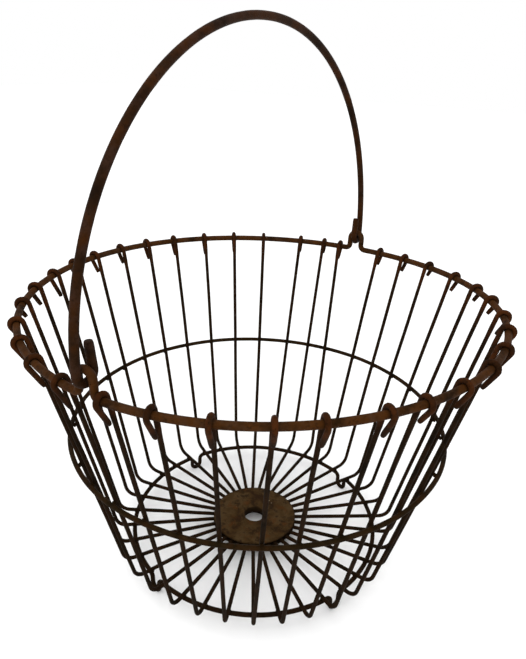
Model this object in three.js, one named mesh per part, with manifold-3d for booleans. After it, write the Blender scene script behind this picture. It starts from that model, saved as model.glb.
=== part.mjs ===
// Wire gathering basket with a swinging bail handle.
//
// Thirty-six bent wire ribs run out from a two-plate hub, turn up at the edge of the floor and hook
// over a heavy rim wire. A hoop is welded round the outside of the ribs at half height, and a base
// ring with four kinked feet is welded under the floor. The rim wire is bent up into two ears, and
// the bail's hooked ends pass through them and turn in them.
//
// Units are millimetres. +Z is up, the bail swings about a line along X, and the origin is on the
// ground at the centre of the base ring.

import * as THREE from 'three';
import { mergeVertices } from 'three/addons/utils/BufferGeometryUtils.js';
import Module from 'manifold-3d';

// ---- Driving dimensions ----

const RIM_RADIUS = 172;        // centre of the rim wire
const RIM_HEIGHT = 221;        // mean height of the rim wire's centre
const RIM_WARP = 1.6;          // the rim sags at the ears and rises between them by this much
const RIM_LEAN = 2.4;          // the rim stands this much higher on the -Y side than in the middle
const RIM_WIRE = 4.9;

const HOOP_HEIGHT = 118.7;     // welded hoop at half height
const HOOP_WIRE = 3.5;
const HOOP_BOW = 1.5;          // the hoop stands off the ribs by this much on two opposite sides
const HOOP_BOW_AZIMUTH = -59;

const BASE_RADIUS = 104;       // base ring under the floor
const BASE_WIRE = 3.6;
const FOOT_AZIMUTHS = [-111, -22.5, 67.5, 165];
const FOOT_DEPTH = 12.2;       // how far each kink drops below the ring
const FOOT_RADIUS = 4.4;       // bend at the bottom of a foot
const FOOT_SHOULDER = 4;       // bend at the top of a foot's legs
const FOOT_WEAR = 0.5;         // flat worn on the underside of each foot

const RIB_COUNT = 36;
const RIB_PHASE = 2.3;         // azimuth of the first rib in degrees
const RIB_WIRE = 3.1;
const FLOOR_RADIUS = 117.4;    // where the floor line and the wall line of a rib would meet
const FLOOR_SAG = 4;           // the hub hangs this much below the floor's edge
const ELBOW_RADIUS = 10;       // bend between floor and wall
const TAIL_CLEARANCE = 0.8;    // between a rib's cut end and its own wall
const FULL_TAIL = 14;          // a cut end that reaches this far below the rim lies close to its wall
const TAIL_SPRING = 0.3;       // a shorter one stands out by this much for each millimetre less

// The ribs were hooked over the rim by hand, so each hook strays from the even pitch by a few
// degrees. The floor corners keep the pitch.
const HOOK_DRIFT = [
  3.5, -1, -3, -0.5, -0.5, -0.5, 0, -0.5, -1, -1, -2.5, -3,
  -2.5, -2.5, -1, -1, -1, -0.5, 0.5, 0.5, 1, 1.5, 0, 1.5,
  -0.5, -0.5, 0.5, 0.5, 1, 0, 0.5, -0.5, 0, 1, 0.5, -0.5,
];

// Where they enter the hub the ribs crowd towards one side, and a little towards two opposite ones.
const HUB_SWAY = 3.4;          // degrees a rib strays there, most at this azimuth
const HUB_SWAY_AZIMUTH = -23;
const HUB_SQUEEZE = 1.5;       // degrees more, most at this azimuth and opposite it
const HUB_SQUEEZE_AZIMUTH = 7;

// How far each rib's cut end reaches below the rim's centre: the wires were cut by eye.
const TAIL_DROPS = [
  12, 9, 10.5, 13, 13.5, 14.5, 13, 13, 12, 13, 13, 17,
  12.5, 9.5, 11, 15, 17, 18, 16.5, 16.5, 16.5, 14, 16, 15,
  13, 13.5, 14, 14, 13, 13, 9.5, 9, 11, 7.5, 10.5, 10.5,
];

const PLATE_RADIUS = 36.2;     // hub plates
const PLATE_THICKNESS = 1.2;
const HOLE_RADIUS = 8.7;
const SPOKE_END = 30;          // radius of the ribs' inner ends between the plates

const EAR_RADIUS = 5.6;        // arch of an ear, centre line
const EAR_BEND = 4;            // bend from the rim into an ear's leg
const EAR_CENTRE_RISE = 10.4;  // centre of the arch above the rim wire's centre
const EAR_OFFSET = 1.8;        // the line through the ears passes the basket's centre at this Y

const BAIL_WIRE = 5.4;
const BAIL_AXIS_RISE = 7.8;    // swing axis above the rim wire's centre at the ears
const BAIL_RISE = 181.7;       // top of the bail above its swing axis
const BAIL_SQUARENESS = 2.03;  // 2 is an ellipse, more is squarer
const BAIL_LEAN = -0.8;        // the bail stands this many degrees back of upright
const HOOK_RADIUS = 5.8;       // bend of a hooked end, centre line
const STUB_RISE = 22.5;        // top of a hooked end above the swing axis
const STUB_LEAN = 1.5;         // the hooked end closes towards the main leg by this much

const GAP = 0.35;              // clearance between pieces that are welded or touch
const RING_STEP = 4.5;         // degrees per segment of the rings
const BEAD_SWELL = 1.24;       // a ring's weld bead against its wire
const KINK_MARGIN = 1;         // degrees kept free on each side of a kink

// ---- Derived dimensions ----

const baseHeight = FOOT_DEPTH + BASE_WIRE / 2 - FOOT_WEAR;
const floorHeight = baseHeight + BASE_WIRE / 2 + RIB_WIRE / 2 + GAP;
const hubHeight = floorHeight - FLOOR_SAG;
const plateOffset = RIB_WIRE / 2 + GAP;
const flatEnd = PLATE_RADIUS + 2;
const floorSlope = FLOOR_SAG / (BASE_RADIUS - flatEnd);
const hookRadius = RIM_WIRE / 2 + RIB_WIRE / 2 + GAP;
const cornerHeight = floorHeight + floorSlope * (FLOOR_RADIUS - BASE_RADIUS);
const wallSlope = (RIM_RADIUS - hookRadius - FLOOR_RADIUS) / (RIM_HEIGHT - cornerHeight);
const hoopContact = FLOOR_RADIUS + wallSlope * (HOOP_HEIGHT - cornerHeight);
const hoopRadius = hoopContact + HOOP_WIRE / 2 + RIB_WIRE / 2 + GAP;
const earAzimuth = THREE.MathUtils.radToDeg(Math.asin(EAR_OFFSET / RIM_RADIUS));
const axisHeight = RIM_HEIGHT - RIM_WARP + BAIL_AXIS_RISE;

const wasm = await Module();
wasm.setup();

// ---- Materials ----

const rustyWire = { color: 0x4a2c17, roughness: 0.85, metalness: 0.35 };
const darkWire = { color: 0x2f2318, roughness: 0.9, metalness: 0.3 };
const bailWire = { color: 0x4d2f1a, roughness: 0.82, metalness: 0.35 };
const hubSheet = { color: 0x4a3a22, roughness: 0.88, metalness: 0.3 };

// ---- Geometry helpers ----

const radians = THREE.MathUtils.degToRad;

// A path through given points, one tube section at each point.
class WirePath extends THREE.Curve {
  constructor(points) {
    super();
    this.points = points;
  }

  getUtoTmapping(u) {
    return u;
  }

  getPoint(t, target = new THREE.Vector3()) {
    const place = t * (this.points.length - 1);
    const index = Math.min(Math.floor(place), this.points.length - 2);
    return target.lerpVectors(this.points[index], this.points[index + 1], place - index);
  }

  getTangent(t, target = new THREE.Vector3()) {
    const last = this.points.length - 1;
    const index = Math.round(t * last);
    const here = this.points[index];
    target.set(0, 0, 0);
    if (index > 0) target.add(here.clone().sub(this.points[index - 1]).normalize());
    if (index < last) target.add(this.points[index + 1].clone().sub(here).normalize());
    return target.normalize();
  }
}

// Round wire drawn as a prism whose section has the round wire's area, flats facing the bends.
function wireGeometry(points, diameter, sides) {
  const turn = 2 * Math.PI / sides;
  const radius = diameter / 2 * Math.sqrt(turn / Math.sin(turn));
  const outline = [];
  for (let i = 0; i < sides; i += 1) {
    const angle = (i + 0.5) * turn;
    outline.push(new THREE.Vector2(radius * Math.cos(angle), radius * Math.sin(angle)));
  }
  return new THREE.ExtrudeGeometry(new THREE.Shape(outline), {
    extrudePath: new WirePath(points),
    steps: points.length - 1,
    curveSegments: 1,
    bevelEnabled: false,
  });
}

function toSolid(geometry) {
  const bare = geometry.clone();
  bare.deleteAttribute('normal');
  bare.deleteAttribute('uv');
  const merged = mergeVertices(bare, 1e-4);
  return new wasm.Manifold(new wasm.Mesh({
    numProp: 3,
    vertProperties: new Float32Array(merged.attributes.position.array),
    triVerts: new Uint32Array(merged.index.array),
  }));
}

function toGeometry(solid) {
  const mesh = solid.getMesh();
  const geometry = new THREE.BufferGeometry();
  geometry.setAttribute('position', new THREE.BufferAttribute(new Float32Array(mesh.vertProperties), 3));
  geometry.setIndex(new THREE.BufferAttribute(new Uint32Array(mesh.triVerts), 1));
  geometry.computeVertexNormals();
  return geometry;
}

function cylindrical(radius, azimuth, height) {
  const angle = radians(azimuth);
  return new THREE.Vector3(radius * Math.cos(angle), radius * Math.sin(angle), height);
}

// Points of an arc in a plane, from one angle to the other, both ends included.
function arcPoints(x, y, radius, fromDegrees, toDegrees, steps) {
  const points = [];
  for (let i = 0; i <= steps; i += 1) {
    const angle = radians(fromDegrees + (toDegrees - fromDegrees) * i / steps);
    points.push(new THREE.Vector2(x + radius * Math.cos(angle), y + radius * Math.sin(angle)));
  }
  return points;
}

// Points of a rounded corner between the lines start-corner and corner-end.
function filletPoints(start, corner, end, radius, steps) {
  const inward = start.clone().sub(corner).normalize();
  const outward = end.clone().sub(corner).normalize();
  const half = Math.acos(inward.dot(outward)) / 2;
  const bisector = inward.clone().add(outward).normalize();
  const centre = corner.clone().addScaledVector(bisector, radius / Math.sin(half));
  const tangentLength = radius / Math.tan(half);
  const first = corner.clone().addScaledVector(inward, tangentLength).sub(centre);
  const last = corner.clone().addScaledVector(outward, tangentLength).sub(centre);
  const sweep = Math.atan2(first.cross(last), first.dot(last));
  const points = [];
  for (let i = 0; i <= steps; i += 1) {
    points.push(first.clone().rotateAround(new THREE.Vector2(), sweep * i / steps).add(centre));
  }
  return points;
}

// ---- Rings ----

function rimHeightAt(azimuth) {
  const angle = radians(azimuth);
  return RIM_HEIGHT - RIM_WARP * Math.cos(2 * angle) - RIM_LEAN * Math.sin(angle);
}

// A kink in a ring, as pairs of distance along the ring and height from it. Its sign is 1 for a
// kink that stands up and -1 for one that hangs down.
function kinkPoints(archRadius, bendRadius, archCentre, archSteps, sign) {
  const reach = archRadius + bendRadius;
  const bendSteps = 3;
  const points = [
    ...arcPoints(-reach, bendRadius, bendRadius, -90, 0, bendSteps),
    ...arcPoints(0, archCentre, archRadius, 180, 0, archSteps),
    ...arcPoints(reach, bendRadius, bendRadius, -180, -90, bendSteps),
  ];
  return points.map(({ x, y }) => ({ along: x, rise: sign * y }));
}

function turnBetween(from, to) {
  return THREE.MathUtils.euclideanModulo(to - from, 360);
}

// A ring of wire, open where its ends are welded together, with a kink at each azimuth in kinksAt.
function ringPoints({ radius, weldAzimuth, heightAt, swellAt = () => 0, kinksAt = [], kink = [] }) {
  const toTurn = (along) => THREE.MathUtils.radToDeg(along / radius);
  const keepOff = kink.length ? toTurn(kink[kink.length - 1].along) + KINK_MARGIN : 0;
  const isClear = (azimuth, at) => Math.abs(turnBetween(at, azimuth + 180) - 180) > keepOff;
  const stops = [];
  for (let turn = 0; turn < 360; turn += RING_STEP) {
    if (kinksAt.every((at) => isClear(weldAzimuth + turn, at))) stops.push({ turn, rise: 0 });
  }
  for (const at of kinksAt) {
    for (const { along, rise } of kink) {
      stops.push({ turn: turnBetween(weldAzimuth, at) + toTurn(along), rise });
    }
  }
  stops.sort((a, b) => a.turn - b.turn);
  stops.push({ turn: 360 - toTurn(GAP), rise: 0 });
  return stops.map(({ turn, rise }) => {
    const azimuth = weldAzimuth + turn;
    return cylindrical(radius + swellAt(azimuth), azimuth, heightAt(azimuth) + rise);
  });
}

// The bead of weld metal that closes a ring, a little thicker than the wire.
function weldBead(place, diameter) {
  const bead = new THREE.SphereGeometry(diameter / 2 * BEAD_SWELL, 12, 8);
  bead.translate(place.x, place.y, place.z);
  return toSolid(bead);
}

function closedRing(points, diameter) {
  const wire = toSolid(wireGeometry(points, diameter, 8));
  return wire.add(weldBead(points[0], diameter));
}

function rimGeometry() {
  return toGeometry(closedRing(ringPoints({
    radius: RIM_RADIUS,
    weldAzimuth: 95,
    heightAt: rimHeightAt,
    kinksAt: [earAzimuth, 180 - earAzimuth],
    kink: kinkPoints(EAR_RADIUS, EAR_BEND, EAR_CENTRE_RISE, 8, 1),
  }), RIM_WIRE));
}

function hoopBowAt(azimuth) {
  return HOOP_BOW * Math.cos(radians(azimuth - HOOP_BOW_AZIMUTH)) ** 2;
}

function hoopGeometry() {
  return toGeometry(closedRing(ringPoints({
    radius: hoopRadius,
    weldAzimuth: 47,
    heightAt: () => HOOP_HEIGHT,
    swellAt: hoopBowAt,
  }), HOOP_WIRE));
}

function baseRingGeometry() {
  const ring = closedRing(ringPoints({
    radius: BASE_RADIUS,
    weldAzimuth: 27,
    heightAt: () => baseHeight,
    kinksAt: FOOT_AZIMUTHS,
    kink: kinkPoints(FOOT_RADIUS, FOOT_SHOULDER, FOOT_DEPTH - FOOT_RADIUS, 6, -1),
  }), BASE_WIRE);
  const ground = new THREE.BoxGeometry(4 * BASE_RADIUS, 4 * BASE_RADIUS, BASE_WIRE);
  ground.translate(0, 0, -BASE_WIRE / 2);
  return toGeometry(ring.subtract(toSolid(ground)));
}

// ---- Ribs ----

// A rib in its own radial plane, as pairs of radius and height, from the hub to its cut end.
function ribProfile(rimHeight, tailDrop) {
  const flat = new THREE.Vector2(flatEnd, hubHeight);
  const corner = new THREE.Vector2(FLOOR_RADIUS, cornerHeight);
  const hoop = new THREE.Vector2(hoopContact, HOOP_HEIGHT);
  const rise = rimHeight - HOOP_HEIGHT;
  const wallTilt = THREE.MathUtils.radToDeg(Math.atan2(RIM_RADIUS - hookRadius - hoopContact, rise));
  const wallAtTail = RIM_RADIUS - hookRadius - wallSlope * tailDrop;
  const spring = TAIL_SPRING * Math.max(0, FULL_TAIL - tailDrop);
  const tailRadius = wallAtTail + RIB_WIRE + TAIL_CLEARANCE + spring;
  const tail = new THREE.Vector2(tailRadius, rimHeight - tailDrop);
  const tailLength = Math.hypot(RIM_RADIUS - tail.x, tailDrop);
  const tailBearing = Math.atan2(tail.y - rimHeight, tail.x - RIM_RADIUS);
  const tailTurn = THREE.MathUtils.radToDeg(tailBearing + Math.acos(hookRadius / tailLength));
  return [
    new THREE.Vector2(SPOKE_END, hubHeight),
    flat,
    ...filletPoints(flat, corner, hoop, ELBOW_RADIUS, 4),
    hoop,
    ...arcPoints(RIM_RADIUS, rimHeight, hookRadius, 180 - wallTilt, tailTurn, 7),
    tail,
  ];
}

// How far a rib strays from its pitch where it enters the hub, in degrees.
function hubDriftAt(azimuth) {
  const sway = HUB_SWAY * Math.cos(radians(azimuth - HUB_SWAY_AZIMUTH));
  return sway + HUB_SQUEEZE * Math.cos(2 * radians(azimuth - HUB_SQUEEZE_AZIMUTH));
}

function ribGeometry(index) {
  const pitch = 360 / RIB_COUNT;
  const azimuth = RIB_PHASE + index * pitch;
  const hookAzimuth = azimuth + HOOK_DRIFT[index];
  const rimHeight = rimHeightAt(hookAzimuth);
  const wallTop = RIM_RADIUS - hookRadius;
  // The spoke and the wall are straight between their ends, so each drift counts by distance.
  const points = ribProfile(rimHeight, TAIL_DROPS[index]).map(({ x: radius, y: height }) => {
    const outward = THREE.MathUtils.clamp((radius - flatEnd) / (FLOOR_RADIUS - flatEnd), 0, 1);
    const upward = THREE.MathUtils.clamp((height - cornerHeight) / (rimHeight - cornerHeight), 0, 1);
    if (radius >= wallTop) return cylindrical(radius, hookAzimuth, height);
    const atHub = hubDriftAt(azimuth) * (1 - outward) * Math.min(flatEnd / radius, 1);
    const atHook = HOOK_DRIFT[index] * upward * wallTop / radius;
    return cylindrical(radius, azimuth + atHub + atHook, height);
  });
  return wireGeometry(points, RIB_WIRE, 6);
}

// ---- Hub ----

// A round plate about Z, from its section as pairs of radius and height.
function plateGeometry(pairs) {
  const section = [...pairs, pairs[0]].map(([radius, height]) => new THREE.Vector2(radius, height));
  return new THREE.LatheGeometry(section, RIB_COUNT).rotateX(Math.PI / 2);
}

// Upper plate, with the rim of its hole turned down through the lower plate.
function topPlateGeometry() {
  const under = hubHeight + plateOffset;
  const collarEnd = hubHeight - plateOffset - PLATE_THICKNESS;
  const collarRadius = HOLE_RADIUS + PLATE_THICKNESS;
  const top = under + PLATE_THICKNESS;
  return plateGeometry([
    [HOLE_RADIUS, collarEnd],
    [collarRadius, collarEnd],
    [collarRadius, under],
    [PLATE_RADIUS, under],
    [PLATE_RADIUS, top],
    [HOLE_RADIUS, top],
  ]);
}

function bottomPlateGeometry() {
  const top = hubHeight - plateOffset;
  const inner = HOLE_RADIUS + PLATE_THICKNESS + GAP;
  return plateGeometry([
    [inner, top - PLATE_THICKNESS],
    [PLATE_RADIUS, top - PLATE_THICKNESS],
    [PLATE_RADIUS, top],
    [inner, top],
  ]);
}

// ---- Bail ----

// A hooked end in the plane of the bail: stub, bend through the swing axis, and foot of the main
// leg. Its side is 1 for the end at +X and -1 for the end at -X.
function hookEndPoints(side) {
  const stubTop = new THREE.Vector2(RIM_RADIUS - HOOK_RADIUS + STUB_LEAN, STUB_RISE);
  const bend = arcPoints(RIM_RADIUS, HOOK_RADIUS, HOOK_RADIUS, 180, 360, 8);
  return [stubTop, ...bend].map(({ x, y }) => new THREE.Vector3(side * x, 0, y));
}

// The arch from the main leg at +X to the main leg at -X, as a rounded oval.
function archPoints(steps) {
  const halfSpan = RIM_RADIUS + HOOK_RADIUS;
  const rise = BAIL_RISE - HOOK_RADIUS;
  const power = 2 / BAIL_SQUARENESS;
  const points = [];
  for (let i = 1; i < steps; i += 1) {
    const angle = Math.PI * i / steps;
    const across = Math.sign(Math.cos(angle)) * Math.abs(Math.cos(angle)) ** power;
    const up = Math.sin(angle) ** power;
    points.push(new THREE.Vector3(halfSpan * across, 0, HOOK_RADIUS + rise * up));
  }
  return points;
}

function bailGeometry() {
  const points = [...hookEndPoints(1), ...archPoints(44), ...hookEndPoints(-1).reverse()];
  return wireGeometry(points, BAIL_WIRE, 8);
}

// ---- Assembly ----

function addPart(parent, name, geometry, finish) {
  const mesh = new THREE.Mesh(geometry, new THREE.MeshStandardMaterial(finish));
  mesh.name = name;
  parent.add(mesh);
}

const basket = new THREE.Group();
addPart(basket, 'rim', rimGeometry(), rustyWire);
addPart(basket, 'mid_hoop', hoopGeometry(), rustyWire);
addPart(basket, 'base_ring', baseRingGeometry(), rustyWire);
addPart(basket, 'hub_top_plate', topPlateGeometry(), hubSheet);
addPart(basket, 'hub_bottom_plate', bottomPlateGeometry(), hubSheet);
for (let index = 0; index < RIB_COUNT; index += 1) {
  addPart(basket, `rib_${String(index + 1).padStart(2, '0')}`, ribGeometry(index), darkWire);
}

const bailPivot = new THREE.Group();
bailPivot.position.set(0, EAR_OFFSET, axisHeight);
bailPivot.rotation.x = radians(BAIL_LEAN);
addPart(bailPivot, 'bail', bailGeometry(), bailWire);
basket.add(bailPivot);

export default basket;
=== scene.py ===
"""Looks of a rusty wire fruit picking basket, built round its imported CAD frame.

Every wire is swept again as a round, pitted, rusted wire on the CAD wire's centre line, the hub is
two stamped plates that bulge over the wires between them, and the welds are beads of their own.
Units are metres. +Z is up and the bail swings about a line along X.
"""

import math

import bmesh
import bpy
import numpy as np
from mathutils import Matrix, Vector, noise


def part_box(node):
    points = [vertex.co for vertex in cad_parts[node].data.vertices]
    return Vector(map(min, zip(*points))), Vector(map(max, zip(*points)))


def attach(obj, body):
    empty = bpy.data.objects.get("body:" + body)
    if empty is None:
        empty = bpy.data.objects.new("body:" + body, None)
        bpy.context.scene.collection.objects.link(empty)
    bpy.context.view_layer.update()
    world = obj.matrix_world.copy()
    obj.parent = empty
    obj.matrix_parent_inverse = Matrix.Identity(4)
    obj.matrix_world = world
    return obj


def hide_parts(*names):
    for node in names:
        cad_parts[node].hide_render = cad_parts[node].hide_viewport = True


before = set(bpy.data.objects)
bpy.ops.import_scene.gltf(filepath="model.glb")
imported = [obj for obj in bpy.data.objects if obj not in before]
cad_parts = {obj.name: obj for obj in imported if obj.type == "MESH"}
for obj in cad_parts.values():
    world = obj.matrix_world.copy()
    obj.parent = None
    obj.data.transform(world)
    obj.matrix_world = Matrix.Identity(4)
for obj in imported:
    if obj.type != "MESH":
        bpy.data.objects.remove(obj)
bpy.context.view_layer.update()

WAVER_SEED = 7
noise.seed_set(WAVER_SEED)     # without it noise_vector starts from the clock

# ---- Sizes ----

MM = 0.001

RIM_RADIUS = 172 * MM
RIM_HEIGHT = 221 * MM
RIM_WARP = 1.6 * MM
RIM_LEAN = 2.4 * MM
RIM_WIRE = 4.9 * MM

HOOP_HEIGHT = 118.7 * MM
HOOP_WIRE = 3.5 * MM
HOOP_BOW = 1.5 * MM
HOOP_BOW_AZIMUTH = math.radians(-59)

BASE_RADIUS = 104 * MM
BASE_WIRE = 3.6 * MM
FOOT_AZIMUTHS = [math.radians(azimuth) for azimuth in (-111, -22.5, 67.5, 165)]
FOOT_DEPTH = 12.2 * MM
FOOT_RADIUS = 4.4 * MM
FOOT_SHOULDER = 4 * MM
FOOT_WEAR = 0.5 * MM

RIB_COUNT = 36
RIB_PHASE = math.radians(2.3)
RIB_WIRE = 3.1 * MM
FLOOR_RADIUS = 117.4 * MM
FLOOR_SAG = 4 * MM
ELBOW_RADIUS = 10 * MM

PLATE_RADIUS = 36.2 * MM
PLATE_THICKNESS = 1.2 * MM
HOLE_RADIUS = 8.7 * MM
SPOKE_END = 30 * MM

EAR_RADIUS = 5.6 * MM
EAR_BEND = 4 * MM
EAR_CENTRE_RISE = 10.4 * MM
EAR_OFFSET = 1.8 * MM

BAIL_WIRE = 5.4 * MM
BAIL_AXIS_RISE = 7.8 * MM
BAIL_RISE = 181.7 * MM
BAIL_SQUARENESS = 2.03
BAIL_LEAN = math.radians(-0.8)
HOOK_RADIUS = 5.8 * MM
STUB_RISE = 22.5 * MM
STUB_LEAN = 1.5 * MM

GAP = 0.35 * MM

base_height = FOOT_DEPTH + BASE_WIRE / 2 - FOOT_WEAR
floor_height = base_height + BASE_WIRE / 2 + RIB_WIRE / 2 + GAP
hub_height = floor_height - FLOOR_SAG
plate_offset = RIB_WIRE / 2 + GAP
flat_end = PLATE_RADIUS + 2 * MM
floor_slope = FLOOR_SAG / (BASE_RADIUS - flat_end)
hook_radius = RIM_WIRE / 2 + RIB_WIRE / 2 + GAP
corner_height = floor_height + floor_slope * (FLOOR_RADIUS - BASE_RADIUS)
wall_slope = (RIM_RADIUS - hook_radius - FLOOR_RADIUS) / (RIM_HEIGHT - corner_height)
hoop_contact = FLOOR_RADIUS + wall_slope * (HOOP_HEIGHT - corner_height)
hoop_radius = hoop_contact + HOOP_WIRE / 2 + RIB_WIRE / 2 + GAP
ear_azimuth = math.asin(EAR_OFFSET / RIM_RADIUS)
axis_height = RIM_HEIGHT - RIM_WARP + BAIL_AXIS_RISE

HOOK_HUG = 0.2 * MM            # a rib's hook closes on the rim by this much past the CAD gap
HOOK_SWELL = 1.12              # rust thickens the hooks
FINE = 1.4 * MM                # spacing of the swept sections along a wire

# How tightly the rusted surface's lumps repeat, in noise cells per metre, and how much each counts.
BROAD_RUST, BROAD_WEIGHT = 160, 0.5
FINE_RUST, FINE_WEIGHT = 620, 0.35
PIT_RUST, PIT_WEIGHT = 330, 2.2
PIT_THRESHOLD = 0.28           # noise above this is a pit
DEEPEST = -1.4                 # lowest value of the rusted surface
WAVER = 22                     # how tightly a hand-bent wire wavers, in noise cells per metre
STEADY_STEPS = 12              # sections over which the waver fades out at a wire's end

# ---- Centre lines ----


def arc(x, y, radius, start, end, spacing=FINE / 2):
    """Points of an arc in a plane, both ends included, with angles in degrees."""
    count = max(2, math.ceil(abs(math.radians(end - start)) * radius / spacing))
    angles = np.radians(np.linspace(start, end, count + 1))
    return np.column_stack((x + radius * np.cos(angles), y + radius * np.sin(angles)))


def fillet(start, corner, end, radius):
    """Points of a rounded corner between the lines start-corner and corner-end."""
    inward = (start - corner) / np.linalg.norm(start - corner)
    outward = (end - corner) / np.linalg.norm(end - corner)
    half = math.acos(inward @ outward) / 2
    bisector = (inward + outward) / np.linalg.norm(inward + outward)
    centre = corner + bisector * radius / math.sin(half)
    first = corner + inward * radius / math.tan(half) - centre
    last = corner + outward * radius / math.tan(half) - centre
    sweep = math.atan2(first[0] * last[1] - first[1] * last[0], first @ last)
    turns = np.linspace(0, sweep, 14)
    cosines, sines = np.cos(turns), np.sin(turns)
    return centre + np.column_stack((
        first[0] * cosines - first[1] * sines,
        first[0] * sines + first[1] * cosines,
    ))


def cylindrical(radius, azimuth, height):
    return np.column_stack(np.broadcast_arrays(
        radius * np.cos(azimuth), radius * np.sin(azimuth), height))


def resampled(points, spacing, closed=False):
    """The same line with evenly spaced points."""
    line = np.vstack((points, points[:1])) if closed else points
    travelled = np.concatenate(([0], np.cumsum(np.linalg.norm(np.diff(line, axis=0), axis=1))))
    count = max(4, round(travelled[-1] / spacing))
    stops = np.linspace(0, travelled[-1], count + 1)
    even = np.column_stack([np.interp(stops, travelled, line[:, k]) for k in range(3)])
    return even[:-1] if closed else even


def rim_height_at(azimuth):
    return RIM_HEIGHT - RIM_WARP * np.cos(2 * azimuth) - RIM_LEAN * np.sin(azimuth)


def kink(arch_radius, bend_radius, arch_centre, sign):
    """A kink in a ring, as rows of distance along the ring and height from it."""
    reach = arch_radius + bend_radius
    points = np.vstack((
        arc(-reach, bend_radius, bend_radius, -90, 0),
        arc(0, arch_centre, arch_radius, 180, 0),
        arc(reach, bend_radius, bend_radius, -180, -90),
    ))
    return points * (1, sign)


def ring_line(radius, height_at, swell_at=None, kinks_at=(), shape=None):
    """A closed ring of wire, with a kink of the given shape at each azimuth in kinks_at."""
    turns = np.radians(np.arange(0, 360, 0.5))
    stops = [(turn, 0.0) for turn in turns]
    for at in kinks_at:
        reach = shape[-1, 0] / radius
        stops = [s for s in stops if abs((s[0] - at + math.pi) % math.tau - math.pi) > reach]
        stops += [((at + along / radius) % math.tau, rise) for along, rise in shape]
    azimuths, rises = np.array(sorted(stops)).T
    swell = swell_at(azimuths) if swell_at else 0
    return cylindrical(radius + swell, azimuths, height_at(azimuths) + rises)


def rim_line():
    ear = kink(EAR_RADIUS, EAR_BEND, EAR_CENTRE_RISE, 1)
    return ring_line(RIM_RADIUS, rim_height_at, None, (ear_azimuth, math.pi - ear_azimuth), ear)


def hoop_bow_at(azimuth):
    return HOOP_BOW * np.cos(azimuth - HOOP_BOW_AZIMUTH) ** 2


def hoop_line():
    return ring_line(hoop_radius, lambda azimuth: HOOP_HEIGHT + 0 * azimuth, hoop_bow_at)


def base_line():
    foot = kink(FOOT_RADIUS, FOOT_SHOULDER, FOOT_DEPTH - FOOT_RADIUS, -1)
    return ring_line(BASE_RADIUS, lambda azimuth: base_height + 0 * azimuth, None,
                     FOOT_AZIMUTHS, foot)


def node_points(node):
    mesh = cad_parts[node].data
    points = np.zeros(3 * len(mesh.vertices))
    mesh.vertices.foreach_get("co", points)
    return points.reshape(-1, 3)


def mean_azimuth(points, near):
    """The azimuth of the middle of some of a node's points, less than half a turn from near."""
    x, y = points[:, 0].mean(), points[:, 1].mean()
    return near + (math.atan2(y, x) - near + math.pi) % math.tau - math.pi


class Rib:
    """Where one rib runs, measured on its CAD node: at the hub, at the hoop and at its hook."""

    def __init__(self, index):
        self.name = f"rib_{index + 1:02d}"
        pitch = RIB_PHASE + index * math.tau / RIB_COUNT
        points = node_points(self.name)
        radius = np.hypot(points[:, 0], points[:, 1])
        near_hub = radius < SPOKE_END + MM
        on_wall = (abs(points[:, 2] - HOOP_HEIGHT) < RIB_WIRE) & (radius > FLOOR_RADIUS)
        at_top = points[:, 2] > points[:, 2].max() - MM
        self.at_hub = mean_azimuth(points[near_hub], pitch)
        self.at_hoop = mean_azimuth(points[on_wall], pitch)
        self.at_hook = mean_azimuth(points[at_top], pitch)
        self.rim_height = float(rim_height_at(self.at_hook))
        self.wall_top = RIM_RADIUS - hook_radius
        wall = FLOOR_RADIUS + wall_slope * (points[:, 2] - corner_height)
        outside = (points[:, 2] > HOOP_HEIGHT) & (radius > wall + 2 * MM)
        lowest = points[outside, 2].min()
        cut_end = outside & (points[:, 2] < lowest + 2 * MM)
        self.tail = np.array((radius[cut_end].mean(), points[cut_end, 2].mean()))
        upward = (HOOP_HEIGHT - corner_height) / (self.rim_height - corner_height)
        shift = (self.at_hoop - pitch) * hoop_contact
        shift -= (self.at_hook - pitch) * upward * self.wall_top
        self.at_corner = pitch + shift / ((1 - upward) * FLOOR_RADIUS)
        self.pitch = pitch

    def azimuth(self, radius, height):
        """Both straight stretches, the spoke and the wall, seen from above."""
        outward = np.clip((radius - flat_end) / (FLOOR_RADIUS - flat_end), 0, 1)
        upward = np.clip((height - corner_height) / (self.rim_height - corner_height), 0, 1)
        hub = (self.at_hub - self.pitch) * (1 - outward) * np.minimum(flat_end / radius, 1)
        corner = (self.at_corner - self.pitch) * outward * (1 - upward) * FLOOR_RADIUS / radius
        hook = (self.at_hook - self.pitch) * upward * self.wall_top / radius
        return np.where(radius >= self.wall_top, self.at_hook, self.pitch + hub + corner + hook)

    def line(self):
        flat = np.array((flat_end, hub_height))
        corner = np.array((FLOOR_RADIUS, corner_height))
        hoop = np.array((hoop_contact, HOOP_HEIGHT))
        lean = math.degrees(math.atan2(self.wall_top - hoop_contact, self.rim_height - HOOP_HEIGHT))
        away = self.tail - (RIM_RADIUS, self.rim_height)
        turn = math.atan2(away[1], away[0]) + math.acos(hook_radius / np.linalg.norm(away))
        hook = arc(RIM_RADIUS, self.rim_height, hook_radius, 180 - lean, math.degrees(turn))
        centre = np.array((RIM_RADIUS, self.rim_height))
        closing = np.clip(np.arange(len(hook)) / (0.3 * len(hook)), 0, 1)[:, None]
        hook = centre + (hook - centre) * (1 - HOOK_HUG / hook_radius * closing)
        profile = np.vstack((
            [(SPOKE_END, hub_height), flat],
            fillet(flat, corner, hoop, ELBOW_RADIUS),
            [hoop],
            hook,
            [self.tail],
        ))
        even = resampled(np.column_stack((profile, np.zeros(len(profile)))), FINE)
        radius, height = even[:, 0], even[:, 1]
        return cylindrical(radius, self.azimuth(radius, height), height)


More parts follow.
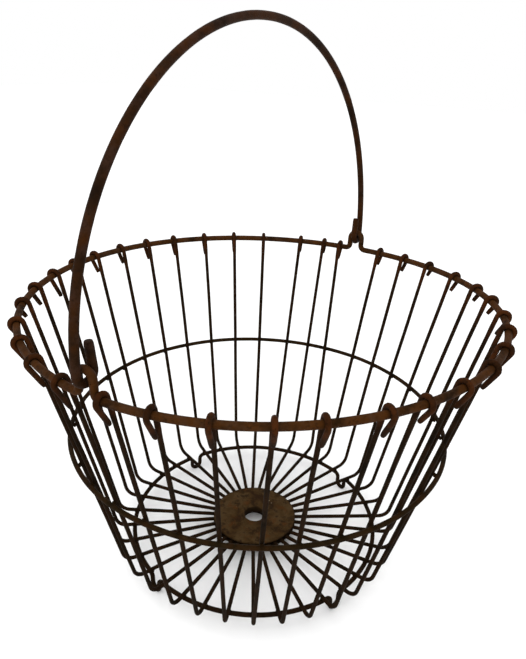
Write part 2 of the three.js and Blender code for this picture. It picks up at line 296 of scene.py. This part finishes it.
def bail_line():
    """The bail at rest: hooked end, arch and hooked end."""
    hook = np.vstack((
        [(RIM_RADIUS - HOOK_RADIUS + STUB_LEAN, STUB_RISE)],
        arc(RIM_RADIUS, HOOK_RADIUS, HOOK_RADIUS, 180, 360),
    ))
    angles = np.linspace(0, math.pi, 240)[1:-1]
    power = 2 / BAIL_SQUARENESS
    across = np.sign(np.cos(angles)) * np.abs(np.cos(angles)) ** power
    up = np.sin(angles) ** power
    arch = np.column_stack((
        (RIM_RADIUS + HOOK_RADIUS) * across,
        HOOK_RADIUS + (BAIL_RISE - HOOK_RADIUS) * up,
    ))
    flat = np.vstack((hook, arch, (hook * (-1, 1))[::-1]))
    lean_y, lean_z = -math.sin(BAIL_LEAN), math.cos(BAIL_LEAN)
    return np.column_stack((
        flat[:, 0], EAR_OFFSET + flat[:, 1] * lean_y, axis_height + flat[:, 1] * lean_z))


# ---- Meshes ----


def rusted(points, seed):
    """How far rust lifts or eats the surface at each point, from about -1 to 1."""
    shift = Vector((seed * 0.37, seed * 0.71, seed * 0.13))
    heights = np.empty(len(points))
    for i, point in enumerate(points):
        place = Vector(point)
        broad = noise.fractal(place * BROAD_RUST + shift, 1.0, 2.0, 3)
        fine = noise.noise(place * FINE_RUST + shift)
        pit = max(0.0, noise.noise(place * PIT_RUST - shift) - PIT_THRESHOLD)
        heights[i] = BROAD_WEIGHT * broad + FINE_WEIGHT * fine - PIT_WEIGHT * pit
    return np.clip(heights, DEEPEST, 1)


def wavering(line, seed, amount):
    """The line with the slight waver of hand-bent wire, none at its two ends."""
    shift = Vector((seed * 1.7, 0, seed))
    moves = np.array([noise.noise_vector(Vector(point) * WAVER + shift) for point in line])
    steps = np.minimum(np.arange(len(line)), np.arange(len(line))[::-1])
    return line + moves * amount * np.clip(steps / STEADY_STEPS, 0, 1)[:, None]


def section_frames(line, closed):
    """Two unit vectors across the wire at each point, carried along it without twist."""
    if closed:
        tangents = np.roll(line, -1, axis=0) - np.roll(line, 1, axis=0)
    else:
        tangents = np.gradient(line, axis=0)
    tangents /= np.linalg.norm(tangents, axis=1)[:, None]
    side = np.cross(tangents[0], (0, 0, 1) if abs(tangents[0][2]) < 0.9 else (1, 0, 0))
    sides = []
    for tangent in tangents:
        side = side - tangent * (side @ tangent)
        side = side / np.linalg.norm(side)
        sides.append(side)
    sides = np.array(sides)
    ups = np.cross(tangents, sides)
    if closed:
        back = sides[-1] - tangents[0] * (sides[-1] @ tangents[0])
        twist = math.atan2(back @ ups[0], back @ sides[0])
        turns = -twist * np.arange(len(line)) / len(line)
        cosines, sines = np.cos(turns)[:, None], np.sin(turns)[:, None]
        sides, ups = sides * cosines + ups * sines, ups * cosines - sides * sines
    return sides, ups


def tube_faces(sections, around, closed):
    faces = []
    for i in range(sections if closed else sections - 1):
        here, there = i * around, (i + 1) % sections * around
        for k in range(around):
            turn = (k + 1) % around
            faces.append((here + k, here + turn, there + turn, there + k))
    return faces


def wire_mesh(name, line, diameter, around, seed, closed=False, relief=0.05 * MM, swell=None):
    """A round wire with a rusted surface. Cut ends are flat with a rounded burr."""
    scale = np.ones(len(line))
    if not closed:
        ends = [0.86, 0.97]
        scale[:2], scale[-2:] = ends, ends[::-1]
    if swell is not None:
        scale = scale * swell
    sides, ups = section_frames(line, closed)
    angles = np.arange(around) / around * math.tau
    round_x, round_y = np.cos(angles), np.sin(angles)
    outward = sides[:, None] * round_x[None, :, None] + ups[:, None] * round_y[None, :, None]
    surface = line[:, None] + outward * (diameter / 2 * scale)[:, None, None]
    points = surface.reshape(-1, 3)
    points = points + outward.reshape(-1, 3) * (rusted(points, seed) * relief)[:, None]
    faces = tube_faces(len(line), around, closed)
    if not closed:
        faces.append(tuple(range(around))[::-1])
        faces.append(tuple((len(line) - 1) * around + k for k in range(around)))
    return make_piece(name, points, faces)


def make_piece(name, points, faces):
    mesh = bpy.data.meshes.new(name)
    mesh.from_pydata([tuple(p) for p in points], [], faces)
    mesh.validate()
    surface = bmesh.new()
    surface.from_mesh(mesh)
    bmesh.ops.recalc_face_normals(surface, faces=surface.faces)
    surface.to_mesh(mesh)
    surface.free()
    mesh.polygons.foreach_set("use_smooth", [True] * len(mesh.polygons))
    piece = bpy.data.objects.new(name, mesh)
    bpy.context.scene.collection.objects.link(piece)
    return piece


def kept_inside(piece, low, high):
    """Flattens what rust lifts past the CAD node's own box, a few hundredths of a millimetre."""
    mesh = piece.data
    points = np.zeros(3 * len(mesh.vertices))
    mesh.vertices.foreach_get("co", points)
    points = np.clip(points.reshape(-1, 3), low, high)
    mesh.vertices.foreach_set("co", points.ravel())
    mesh.update()


def paint(piece, name, values):
    """Stores a value from 0 to 1 for each vertex, for the piece's material to read."""
    attribute = piece.data.attributes.new(name, "FLOAT", "POINT")
    attribute.data.foreach_set("value", np.clip(values, 0, 1).astype(np.float32))


def piece_points(piece):
    points = np.zeros(3 * len(piece.data.vertices))
    piece.data.vertices.foreach_get("co", points)
    return points.reshape(-1, 3)


def nearness(values, reach):
    """1 where a distance is nothing, falling to 0 at reach."""
    return np.clip(1 - np.abs(values) / reach, 0, 1)


def stands_for(piece, node, body, material):
    low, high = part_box(node)
    kept_inside(piece, low, high)
    piece.data.materials.append(material)
    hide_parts(node)
    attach(piece, body)


# ---- Materials ----


class Nodes:
    """Short names for the nodes of one material."""

    def __init__(self, name):
        self.material = bpy.data.materials.new(name)
        self.material.use_nodes = True
        self.tree = self.material.node_tree
        self.shader = self.tree.nodes["Principled BSDF"]
        self.place = self.tree.nodes.new("ShaderNodeTexCoord").outputs["Object"]

    def link(self, source, target):
        self.tree.links.new(source, target)

    def noise(self, scale, detail=4, roughness=0.6, distortion=0.0):
        node = self.tree.nodes.new("ShaderNodeTexNoise")
        node.inputs["Scale"].default_value = scale
        node.inputs["Detail"].default_value = detail
        node.inputs["Roughness"].default_value = roughness
        node.inputs["Distortion"].default_value = distortion
        self.link(self.place, node.inputs["Vector"])
        return node.outputs["Fac"]

    def cells(self, scale):
        node = self.tree.nodes.new("ShaderNodeTexVoronoi")
        node.inputs["Scale"].default_value = scale
        self.link(self.place, node.inputs["Vector"])
        return node.outputs["Distance"]

    def attribute(self, name):
        node = self.tree.nodes.new("ShaderNodeAttribute")
        node.attribute_name = name
        return node.outputs["Fac"]

    def ramp(self, source, stops):
        """stops are pairs of place and either a grey value or a colour."""
        node = self.tree.nodes.new("ShaderNodeValToRGB")
        elements = node.color_ramp.elements
        while len(elements) < len(stops):
            elements.new(0.5)
        for element, (place, value) in zip(elements, stops):
            element.position = place
            element.color = (*value, 1) if isinstance(value, tuple) else (value, value, value, 1)
        self.link(source, node.inputs["Fac"])
        return node.outputs["Color"]

    def mix(self, amount, first, second):
        node = self.tree.nodes.new("ShaderNodeMix")
        node.data_type = "RGBA"
        self.link(amount, node.inputs["Factor"])
        for value, socket in ((first, node.inputs[6]), (second, node.inputs[7])):
            if isinstance(value, tuple):
                socket.default_value = (*value, 1)
            else:
                self.link(value, socket)
        return node.outputs[2]

    def bump(self, height, strength, distance, normal=None):
        node = self.tree.nodes.new("ShaderNodeBump")
        node.inputs["Strength"].default_value = strength
        node.inputs["Distance"].default_value = distance
        self.link(height, node.inputs["Height"])
        if normal is not None:
            self.link(normal, node.inputs["Normal"])
        return node.outputs["Normal"]


def srgb(red, green, blue):
    """A colour given as it is seen, from 0 to 255, as the shader needs it."""
    return tuple((c / 255 / 12.92) if c < 10.3 else ((c / 255 + 0.055) / 1.055) ** 2.4
                 for c in (red, green, blue))


def rust_material(name, base, dark, warm, pale, patch_scale, roughness, hooks=None):
    """Old rust: a base colour with dark, warm and pale patches, painted shade where wires cross
    or hook over one another, and a smoother, paler skin where the metal is rubbed. The attributes
    painted_shade and rub say where. With a colour for hooks, the attribute warmth says where the
    wire takes that colour."""
    nodes = Nodes(name)
    patches = nodes.noise(patch_scale, 5, 0.6, 0.3)
    grains = nodes.noise(900, 3, 0.7)
    speckle = nodes.noise(420, 4, 0.75)
    colour = nodes.ramp(patches, [(0.34, dark), (0.46, base), (0.58, warm), (0.72, base)])
    if hooks is not None:
        reddened = nodes.mix(nodes.ramp(patches, [(0.4, 0.0), (0.6, 1.0)]), hooks[0], hooks[1])
        warmth = nodes.ramp(nodes.attribute("warmth"), [(0.0, 0.0), (0.8, 1.0)])
        colour = nodes.mix(warmth, colour, reddened)
    bloom = nodes.ramp(nodes.noise(patch_scale * 2.3, 6, 0.7), [(0.48, 0.0), (0.64, 0.7)])
    colour = nodes.mix(bloom, colour, pale)
    pits = nodes.ramp(speckle, [(0.36, 0.6), (0.46, 0.0)])
    colour = nodes.mix(pits, colour, dark)
    colour = nodes.mix(nodes.ramp(nodes.attribute("rub"), [(0.0, 0.0), (1.0, 0.5)]), colour, pale)
    # painted shade: mixes towards the dark rust colour where the painted_shade attribute is high
    colour = nodes.mix(nodes.ramp(nodes.attribute("painted_shade"), [(0.0, 0.0), (1.0, 0.8)]), colour, dark)
    nodes.link(colour, nodes.shader.inputs["Base Color"])
    dull = nodes.ramp(grains, [(0.3, roughness - 0.12), (0.7, roughness + 0.08)])
    nodes.link(dull, nodes.shader.inputs["Roughness"])
    scale = nodes.bump(speckle, 0.5, 0.25 * MM)
    nodes.link(nodes.bump(grains, 0.35, 0.12 * MM, scale), nodes.shader.inputs["Normal"])
    dull_gloss(nodes.shader)
    return nodes.material


def dull_gloss(shader):
    """Rust hardly shines, and what it returns is warm."""
    shader.inputs["Specular IOR Level"].default_value = 0.05
    shader.inputs["Specular Tint"].default_value = (1.0, 0.7, 0.45, 1)


def rusty_wire_material():
    return rust_material("rusty_wire", srgb(49, 27, 8), srgb(27, 14, 4), srgb(61, 33, 9),
                         srgb(61, 41, 27), 55, 0.72)


def dark_wire_material():
    return rust_material("dark_wire", srgb(22, 13, 5), srgb(11, 6, 2), srgb(31, 17, 6),
                         srgb(30, 20, 11), 70, 0.76, (srgb(37, 18, 6), srgb(60, 30, 10)))


def bail_wire_material():
    return rust_material("bail_wire", srgb(33, 18, 7), srgb(20, 10, 5), srgb(50, 25, 6),
                         srgb(50, 33, 25), 34, 0.66)


def hoop_wire_material():
    return rust_material("hoop_wire", srgb(28, 18, 5), srgb(13, 8, 2), srgb(37, 21, 6),
                         srgb(35, 25, 12), 60, 0.72)


def hub_sheet_material():
    """Sheet with olive brown rust, darker spots and a few pale specks, and painted shade in the
    hole, along the edges and over the lower plate.
    """
    nodes = Nodes("hub_sheet")
    broad = nodes.noise(60, 5, 0.65, 0.4)
    spots = nodes.noise(150, 5, 0.7, 0.2)
    colour = nodes.ramp(broad, [
        (0.36, srgb(34, 20, 8)), (0.47, srgb(50, 35, 16)), (0.6, srgb(60, 45, 26))])
    dark = nodes.ramp(spots, [(0.4, 0.9), (0.49, 0.0)])
    colour = nodes.mix(dark, colour, srgb(30, 18, 6))
    warm = nodes.ramp(nodes.noise(85, 4, 0.7), [(0.54, 0.0), (0.64, 0.7)])
    colour = nodes.mix(warm, colour, srgb(60, 34, 10))
    specks = nodes.ramp(nodes.cells(95), [(0.04, 1.0), (0.07, 0.0)])
    colour = nodes.mix(specks, colour, srgb(120, 108, 90))
    # painted shade: near black where the painted_shade attribute is high
    colour = nodes.mix(nodes.ramp(nodes.attribute("painted_shade"), [(0, 0.0), (1, 0.85)]), colour,
                       srgb(18, 10, 4))
    nodes.link(colour, nodes.shader.inputs["Base Color"])
    dull = nodes.ramp(spots, [(0.3, 0.66), (0.7, 0.84)])
    nodes.link(dull, nodes.shader.inputs["Roughness"])
    normal = nodes.bump(spots, 0.5, 0.3 * MM)
    normal = nodes.bump(nodes.noise(900, 3, 0.7), 0.35, 0.12 * MM, normal)
    nodes.link(normal, nodes.shader.inputs["Normal"])
    dull_gloss(nodes.shader)
    return nodes.material


rusty_wire = rusty_wire_material()
dark_wire = dark_wire_material()
bail_wire = bail_wire_material()
hoop_wire = hoop_wire_material()
hub_sheet = hub_sheet_material()

# ---- Wires ----

ribs = [Rib(index) for index in range(RIB_COUNT)]


def azimuth_gap(points, azimuths):
    """The angle from each point to the nearest of some azimuths."""
    here = np.arctan2(points[:, 1], points[:, 0])[:, None]
    away = (here - np.array(azimuths)[None] + math.pi) % math.tau - math.pi
    return np.abs(away).min(axis=1)


def make_rim():
    line = resampled(rim_line(), FINE, closed=True)
    rim = wire_mesh("rusty_rim", line, RIM_WIRE, 20, 3, closed=True)
    points = piece_points(rim)
    hooks = azimuth_gap(points, [rib.at_hook for rib in ribs]) * RIM_RADIUS
    lift = points[:, 2] - rim_height_at(np.arctan2(points[:, 1], points[:, 0]))
    ears = azimuth_gap(points, [ear_azimuth, math.pi - ear_azimuth]) * RIM_RADIUS
    # painted shade under each rib's hook, where it closes on the rim
    paint(rim, "painted_shade", nearness(hooks, 3.2 * MM) * 0.9)
    paint(rim, "rub", nearness(lift - 15 * MM, 5 * MM) * nearness(ears, 8 * MM))
    stands_for(rim, "rim", "basket", rusty_wire)


def make_hoop():
    line = wavering(resampled(hoop_line(), FINE, closed=True), 5, 0.25 * MM)
    hoop = wire_mesh("rusty_mid_hoop", line, HOOP_WIRE, 16, 5, closed=True)
    points = piece_points(hoop)
    crossings = azimuth_gap(points, [rib.at_hoop for rib in ribs]) * hoop_radius
    # painted shade where each rib crosses the hoop
    paint(hoop, "painted_shade", nearness(crossings, 3 * MM) * 0.8)
    paint(hoop, "rub", np.zeros(len(points)))
    stands_for(hoop, "mid_hoop", "basket", hoop_wire)


def make_base_ring():
    line = resampled(base_line(), FINE * 0.8, closed=True)
    ring = wire_mesh("rusty_base_ring", line, BASE_WIRE, 16, 7, closed=True)
    points = piece_points(ring)
    spokes = [float(rib.azimuth(BASE_RADIUS, floor_height)) for rib in ribs]
    crossings = azimuth_gap(points, spokes) * BASE_RADIUS
    # painted shade where each rib crosses the base ring
    paint(ring, "painted_shade", nearness(crossings, 3 * MM) * 0.8)
    paint(ring, "rub", nearness(points[:, 2], 1.2 * MM))
    stands_for(ring, "base_ring", "basket", dark_wire)


def make_rib(rib, seed):
    line = wavering(rib.line(), seed, 0.16 * MM)
    on_hook = np.clip((line[:, 2] - rib.tail[1] + 2 * MM) / (6 * MM), 0, 1)
    swell = 1 + (HOOK_SWELL - 1) * on_hook
    piece = wire_mesh(f"rusty_{rib.name}", line, RIB_WIRE, 12, seed, swell=swell)
    points = piece_points(piece)
    radius = np.hypot(points[:, 0], points[:, 1])
    at_hoop = nearness(points[:, 2] - HOOP_HEIGHT, 4 * MM) * (radius > FLOOR_RADIUS)
    at_ring = nearness(radius - BASE_RADIUS, 4 * MM) * (points[:, 2] < 30 * MM)
    at_hub = nearness(radius - PLATE_RADIUS, 4 * MM)
    # painted shade where a rib crosses the hoop and the base ring and where it goes in under the hub
    # plates
    paint(piece, "painted_shade", np.maximum(np.maximum(at_hoop, at_ring), at_hub) * 0.8)
    above = points[:, 2] - rib.rim_height
    paint(piece, "rub", np.zeros(len(points)))
    paint(piece, "warmth", 1 + above / (22 * MM))
    stands_for(piece, rib.name, "basket", dark_wire)


def make_bail():
    line = resampled(bail_line(), FINE)
    bail = wire_mesh("rusty_bail", line, BAIL_WIRE, 20, 11)
    points = piece_points(bail)
    # painted shade at the bail's ends, where its hooks hang in the rim's ears
    paint(bail, "painted_shade", nearness(points[:, 2] - axis_height, 9 * MM) * 0.7)
    paint(bail, "rub", nearness(points[:, 0], 70 * MM) * 0.5)
    stands_for(bail, "bail", "bail", bail_wire)


make_rim()
make_hoop()
make_base_ring()
for number, rib in enumerate(ribs):
    make_rib(rib, 20 + number)
make_bail()

# ---- Hub ----

PLATE_TURNS = 180              # sections round a plate
PLATE_RINGS = 26               # points across each face of a plate
RIB_PRESS = 0.22 * MM          # how far a clamped rib presses the sheet out
RIB_PRESS_WIDTH = 1.7 * MM
SHEET_WAVER = 0.22 * MM        # unevenness of the sheet
SHEET_WAVER_PITCH = 55         # in noise cells per metre
SHEET_SINK = 0.12 * MM         # how far the whole sheet sinks towards the ribs
RAGGED_EDGE = 0.006            # share of the radius by which a plate's edge is ragged
EDGE_DRAW = 1.004              # and by which it is drawn in


def over_spokes(azimuth):
    """1 over a rib that is clamped between the plates, 0 between ribs."""
    gaps = [(azimuth - rib.at_hub + math.pi) % math.tau - math.pi for rib in ribs]
    return max(math.exp(-((gap * PLATE_RADIUS / RIB_PRESS_WIDTH) ** 2)) for gap in gaps)


def plate_surface(radius, azimuth, sign):
    """How far the sheet stands out from flat: ribs press it out, and it is a little uneven."""
    grip = max(0.0, min(1.0, (radius - SPOKE_END + 2 * MM) / (5 * MM)))
    bulge = RIB_PRESS * grip * over_spokes(azimuth) * sign
    place = Vector((radius * math.cos(azimuth), radius * math.sin(azimuth), sign))
    waver = SHEET_WAVER * noise.noise(place * SHEET_WAVER_PITCH)
    return bulge + waver - SHEET_SINK * sign


def plate_mesh(name, profile, sign, seed):
    """A plate turned from its section, given as closed pairs of radius and height."""
    points = []
    for turn in range(PLATE_TURNS):
        azimuth = turn * math.tau / PLATE_TURNS
        round_place = Vector((math.cos(azimuth), math.sin(azimuth), seed)) * 5
        ragged = 1 + RAGGED_EDGE * noise.noise(round_place)
        for radius, height in profile:
            edge = max(0.0, (radius - SPOKE_END) / (PLATE_RADIUS - SPOKE_END))
            reach = radius * (1 + (ragged - EDGE_DRAW) * edge)
            lift = plate_surface(radius, azimuth, sign)
            points.append((reach * math.cos(azimuth), reach * math.sin(azimuth), height + lift))
    faces = tube_faces(PLATE_TURNS, len(profile), True)
    return make_piece(name, points, faces)


def plate_profile(inner, top, bottom, collar_end=None):
    """The section of a plate with rounded edges, and with a turned-down collar if it has one."""
    middle = (top + bottom) / 2
    half = (top - bottom) / 2
    rounded = arc(PLATE_RADIUS - half, middle, half, 90, -90, half / 2)
    radii = np.linspace(inner + 2 * half, PLATE_RADIUS - half, PLATE_RINGS)
    upper = [(radius, top) for radius in radii]
    lower = [(radius, bottom) for radius in radii[::-1]]
    if collar_end is None:
        lip = list(map(tuple, arc(inner + half, middle, half, 270, 90, half / 2)))
        return upper[:-1] + list(map(tuple, rounded)) + lower[1:] + lip
    outer = inner + PLATE_THICKNESS
    return (upper[:-1] + list(map(tuple, rounded)) + lower[1:-1]
            + [(outer + 0.3 * MM, bottom), (outer, bottom - 0.3 * MM), (outer, collar_end)]
            + [(inner, collar_end), (inner, middle)]
            + list(map(tuple, arc(inner + half, middle, half, 180, 90, half / 2))))


def paint_plate(plate):
    points = piece_points(plate)
    radius = np.hypot(points[:, 0], points[:, 1])
    # Painted shade along each plate's edge, in the hole's collar and over all that lies below the
    # ribs, which is the whole lower plate.
    edge = nearness(radius - PLATE_RADIUS, 1.6 * MM)
    hole = np.clip((HOLE_RADIUS + 1 * MM - radius) / MM, 0, 1)
    under = np.clip((hub_height - points[:, 2]) / MM, 0, 1)
    paint(plate, "painted_shade", np.maximum(np.maximum(edge * 0.7, hole), under))


def make_hub():
    top = hub_height + plate_offset + PLATE_THICKNESS
    collar_end = hub_height - plate_offset - PLATE_THICKNESS
    upper_section = plate_profile(HOLE_RADIUS, top, top - PLATE_THICKNESS, collar_end)
    upper = plate_mesh("stamped_hub_top", upper_section, 1, 1)
    paint_plate(upper)
    stands_for(upper, "hub_top_plate", "basket", hub_sheet)
    inner = HOLE_RADIUS + PLATE_THICKNESS + GAP
    under = hub_height - plate_offset
    lower_section = plate_profile(inner, under, under - PLATE_THICKNESS)
    lower = plate_mesh("stamped_hub_bottom", lower_section, -1, 2)
    paint_plate(lower)
    stands_for(lower, "hub_bottom_plate", "basket", hub_sheet)


make_hub()

# ---- Welds ----

# Half-sizes of a bead along its ring, across it and outward.
HOOP_BEAD = (1.7 * MM, 1.7 * MM, 1.1 * MM)
BASE_BEAD = (1.9 * MM, 1.8 * MM, 1.0 * MM)


def blob_into(surface, centre, along, across, out, sizes, seed):
    """Adds one lumpy bead to a bmesh, with half-sizes along three directions."""
    made = bmesh.ops.create_icosphere(surface, subdivisions=3, radius=1.0)
    shift = Vector((seed * 0.9, seed * 0.3, seed * 0.5))
    for vertex in made["verts"]:
        unit = vertex.co.copy()
        lump = 1 + 0.16 * noise.noise(unit * 1.8 + shift) + 0.07 * noise.noise(unit * 5 - shift)
        x, y, z = (unit[k] * sizes[k] * lump for k in range(3))
        vertex.co = Vector(centre) + Vector(along) * x + Vector(across) * y + Vector(out) * z


def weld_piece(name, places, sizes, material):
    """One piece with a bead at each place: centre and the directions along, across and out."""
    surface = bmesh.new()
    for seed, (centre, along, across, out) in enumerate(places):
        blob_into(surface, centre, along, across, out, sizes, seed)
    mesh = bpy.data.meshes.new(name)
    surface.to_mesh(mesh)
    surface.free()
    mesh.polygons.foreach_set("use_smooth", [True] * len(mesh.polygons))
    piece = bpy.data.objects.new(name, mesh)
    bpy.context.scene.collection.objects.link(piece)
    # painted shade over the whole bead, as it sits where the wires cross
    paint(piece, "painted_shade", np.full(len(mesh.vertices), 0.45))
    paint(piece, "rub", np.zeros(len(mesh.vertices)))
    mesh.materials.append(material)
    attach(piece, "basket")


def hoop_weld_places():
    for rib in ribs:
        azimuth = rib.at_hoop
        out = (math.cos(azimuth), math.sin(azimuth), 0)
        along = (-math.sin(azimuth), math.cos(azimuth), 0)
        radius = hoop_contact + RIB_WIRE / 2 + GAP / 2 + float(hoop_bow_at(azimuth)) / 2
        yield cylindrical(radius, azimuth, HOOP_HEIGHT)[0], along, (0, 0, 1), out


def base_weld_places():
    for rib in ribs:
        azimuth = float(rib.azimuth(BASE_RADIUS, floor_height))
        out = (math.cos(azimuth), math.sin(azimuth), 0)
        along = (-math.sin(azimuth), math.cos(azimuth), 0)
        height = base_height + BASE_WIRE / 2 + GAP / 2
        yield cylindrical(BASE_RADIUS, azimuth, height)[0], along, out, (0, 0, 1)


weld_piece("hoop_welds", hoop_weld_places(), HOOP_BEAD, hoop_wire)
weld_piece("base_welds", base_weld_places(), BASE_BEAD, dark_wire)

# ---- Floor, light and camera ----

FLOOR_REACH = 6.0              # half the side of the floor
CAMERA_PLACE = (-358.1 * MM, -216.2 * MM, 368.1 * MM)    # from the middle of the hub's top face
CAMERA_TARGET = (0.4 * MM, -0.7 * MM, 179.5 * MM)
CAMERA_ROLL = 0.0412
CAMERA_LENS = 32.79            # millimetres
SENSOR = 36                    # millimetres, along the longer side of the picture


def make_floor():
    mesh = bpy.data.meshes.new("floor")
    reach = FLOOR_REACH
    corners = [(-reach, -reach, 0), (reach, -reach, 0), (reach, reach, 0), (-reach, reach, 0)]
    mesh.from_pydata(corners, [], [(0, 1, 2, 3)])
    floor = bpy.data.objects.new("floor", mesh)
    bpy.context.scene.collection.objects.link(floor)
    nodes = Nodes("pale_floor")
    nodes.shader.inputs["Base Color"].default_value = (0.93, 0.93, 0.93, 1)
    nodes.shader.inputs["Roughness"].default_value = 0.9
    mesh.materials.append(nodes.material)


def make_sun(name, place, spread, strength):
    """A large soft lamp far away in the direction of place."""
    lamp = bpy.data.lights.new(name, "SUN")
    lamp.angle = math.radians(spread)
    lamp.energy = strength
    light = bpy.data.objects.new(name, lamp)
    bpy.context.scene.collection.objects.link(light)
    light.rotation_euler = Vector(place).to_track_quat("Z", "Y").to_euler()


def make_lamp(name, place, target, size, power):
    """A round lamp near the basket, so that its near side is lit more than its far side."""
    lamp = bpy.data.lights.new(name, "AREA")
    lamp.shape = "DISK"
    lamp.size = size
    lamp.energy = power
    light = bpy.data.objects.new(name, lamp)
    bpy.context.scene.collection.objects.link(light)
    light.location = place
    ahead = Vector(target) - Vector(place)
    light.rotation_euler = ahead.to_track_quat("-Z", "Y").to_euler()


def make_world():
    world = bpy.data.worlds.new("studio")
    world.use_nodes = True
    background = world.node_tree.nodes["Background"]
    background.inputs["Color"].default_value = (1, 1, 1, 1)
    background.inputs["Strength"].default_value = 1.0
    bpy.context.scene.world = world


def make_camera():
    """The camera looks down into the basket, over the rim near the ear at -X, with a slight roll."""
    hub_top = Vector((0, 0, hub_height + plate_offset + PLATE_THICKNESS))
    place = hub_top + Vector(CAMERA_PLACE)
    target = hub_top + Vector(CAMERA_TARGET)
    roll = CAMERA_ROLL
    ahead = (target - place).normalized()
    right = ahead.cross(Vector((0, 0, 1))).normalized()
    up = right.cross(ahead)
    rolled_right = right * math.cos(roll) + up * math.sin(roll)
    rolled_up = up * math.cos(roll) - right * math.sin(roll)
    lens = bpy.data.cameras.new("camera")
    lens.sensor_width = SENSOR
    lens.lens = CAMERA_LENS
    lens.clip_start = 0.01
    camera = bpy.data.objects.new("camera", lens)
    bpy.context.scene.collection.objects.link(camera)
    rows = zip(rolled_right, rolled_up, -ahead, place)
    camera.matrix_world = Matrix([*rows, (0, 0, 0, 1)])
    bpy.context.scene.camera = camera


make_floor()
make_sun("key", (-0.55, 0.1, 1), 50, 1.1)
make_lamp("fill", (-0.62, -0.5, 0.8), (0, 0, 0.2), 0.7, 1.6)
make_world()
make_camera()
bpy.context.scene.view_settings.view_transform = "Standard"
